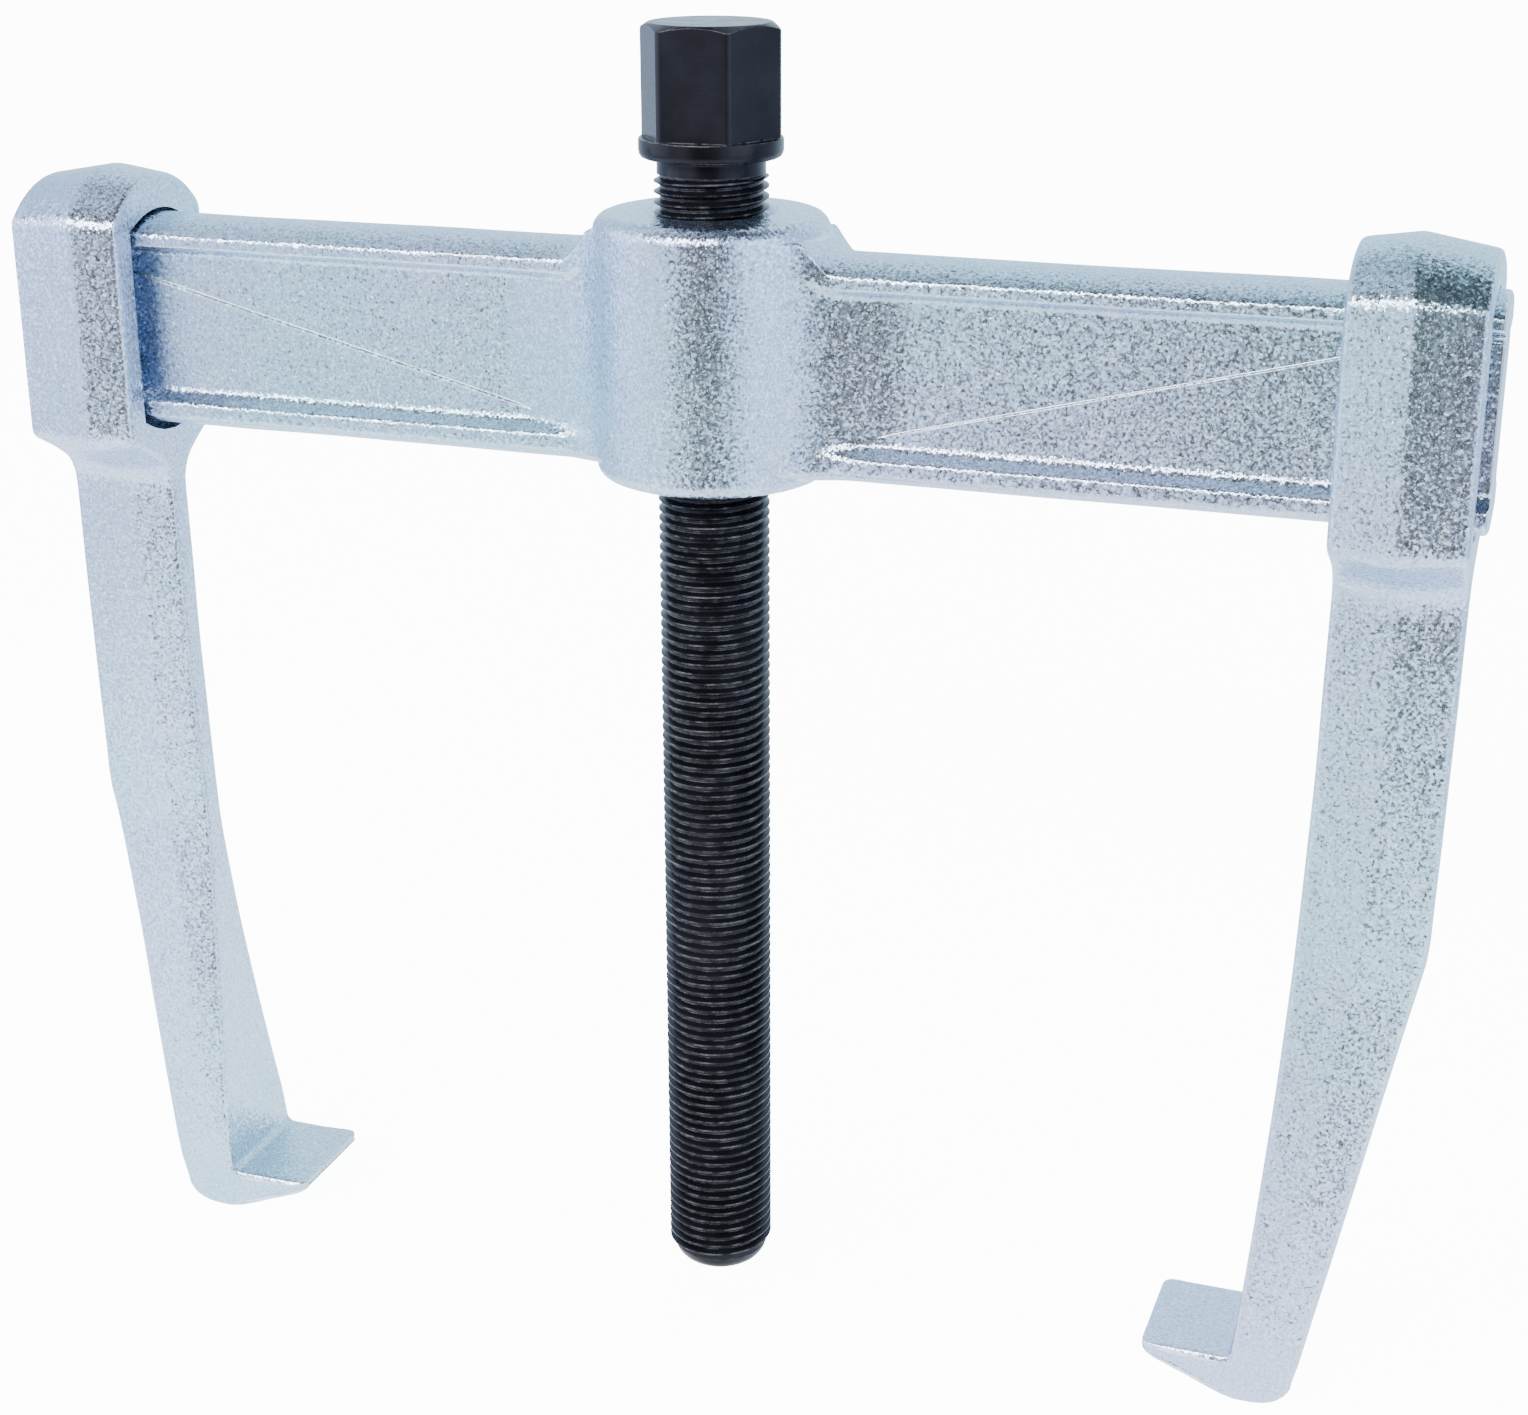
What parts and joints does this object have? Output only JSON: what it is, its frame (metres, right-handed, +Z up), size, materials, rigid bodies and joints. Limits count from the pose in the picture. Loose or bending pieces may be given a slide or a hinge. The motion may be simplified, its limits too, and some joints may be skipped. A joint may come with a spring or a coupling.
{
  "type": "two-leg gear puller",
  "caption": "Sliding-leg puller: forged cross-beam with threaded boss, two hooked legs that slide on it, and a forcing spindle with hexagon head and thrust ball.",
  "frame": {"origin": "on the floor under the spindle axis: the two feet stand on Z = 0 and the spindle axis is X = Y = 0", "axes": "+Z up along the spindle towards the hexagon head, +X along the cross-beam, +Y across it; the picture looks roughly along +Y"},
  "size_m": [0.296, 0.046, 0.2666],
  "materials": {
    "plated_beam": "zinc-plated forged steel, pale blue, fine blasted grain",
    "plated_leg": "zinc-plated forged steel, pale blue with a lavender cast, fine blasted grain",
    "black_spindle": "black oxide on turned steel, satin",
    "bright_ball": "polished hardened steel"
  },
  "bodies": {
    "beam": {"crossbeam": "plated_beam"},
    "left_leg": {"left_leg": "plated_leg"},
    "right_leg": {"right_leg": "plated_leg"},
    "screw_feed": {"thrust_ball": "bright_ball"},
    "screw": {"spindle": "black_spindle"}
  },
  "joints": [
    {"name": "left_leg_slide", "type": "slide", "parent": "beam", "child": "left_leg", "axis": [1, 0, 0], "range_m": [0, 0.08]},
    {"name": "right_leg_slide", "type": "slide", "parent": "beam", "child": "right_leg", "axis": [-1, 0, 0], "range_m": [0, 0.08]},
    {"name": "spindle_feed", "type": "slide", "parent": "beam", "child": "screw_feed", "axis": [0, 0, 1], "range_m": [-0.0096, 0.15]},
    {"name": "spindle_turn", "type": "hinge", "parent": "screw_feed", "child": "screw", "pos_m": [0, 0, 0.24], "axis": [0, 0, 1], "range_deg": [-1730, 27010]}
  ],
  "couplings": [
    {"joint": "spindle_turn", "follows": "spindle_feed", "rad_per_m": 3141.6}
  ]
}
